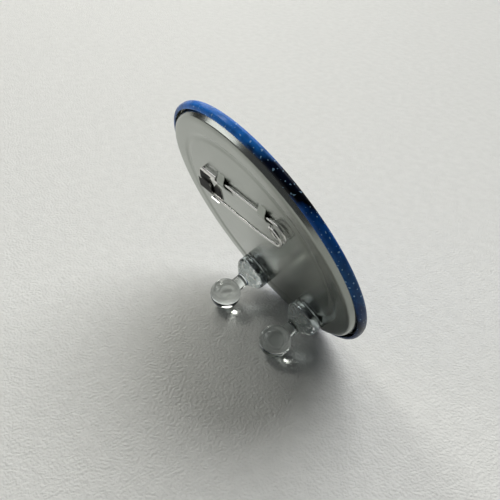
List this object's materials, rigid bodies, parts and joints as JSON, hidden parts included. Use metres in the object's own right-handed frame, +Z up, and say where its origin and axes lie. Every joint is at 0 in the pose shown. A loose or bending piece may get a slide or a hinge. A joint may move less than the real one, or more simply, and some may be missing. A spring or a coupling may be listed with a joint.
{
  "type": "badge display stand",
  "caption": "Round pin-back tin badge standing tilted on clear push-pin magnet feet, with a safety pin that opens on its steel back plate.",
  "frame": {"origin": "on the floor, under the middle of the box round the standing badge and its feet", "axes": "+Z up, +X across the badge, +Y from the printed front towards the back and the feet"},
  "size_m": [0.075, 0.035, 0.068],
  "materials": {
    "clear_film": "clear, glossy",
    "printed_paper": "printed",
    "tinplate": "satin tinplate",
    "pin_wire": "bright nickel plate",
    "clear_plastic": "clear, polished",
    "magnet": "nickel plate"
  },
  "bodies": {
    "badge": {"clear_film": "clear_film", "print_disc": "printed_paper", "front_shell": "tinplate", "back_plate": "tinplate", "pin_spring": "pin_wire", "pin_cap": "pin_wire"},
    "needle": {"pin_needle": "pin_wire"},
    "left_magnet_foot": {"left_foot": "clear_plastic", "left_magnet": "magnet"},
    "right_magnet_foot": {"right_foot": "clear_plastic", "right_magnet": "magnet"}
  },
  "joints": [
    {"name": "needle_opening", "type": "hinge", "parent": "badge", "child": "needle", "pos_m": [-0.01607, 0.00839, 0.03928], "axis": [0, -0.3267, 0.9451], "range_deg": [0, 40], "stiffness_Nm_per_rad": 0.0005, "springref_deg": -11.46},
    {"name": "left_foot_pull", "type": "slide", "parent": "badge", "child": "left_magnet_foot", "axis": [0, 0.8993, -0.4373], "range_m": [0, 0.02]},
    {"name": "right_foot_pull", "type": "slide", "parent": "badge", "child": "right_magnet_foot", "axis": [0, 0.8993, -0.4373], "range_m": [0, 0.02]}
  ]
}
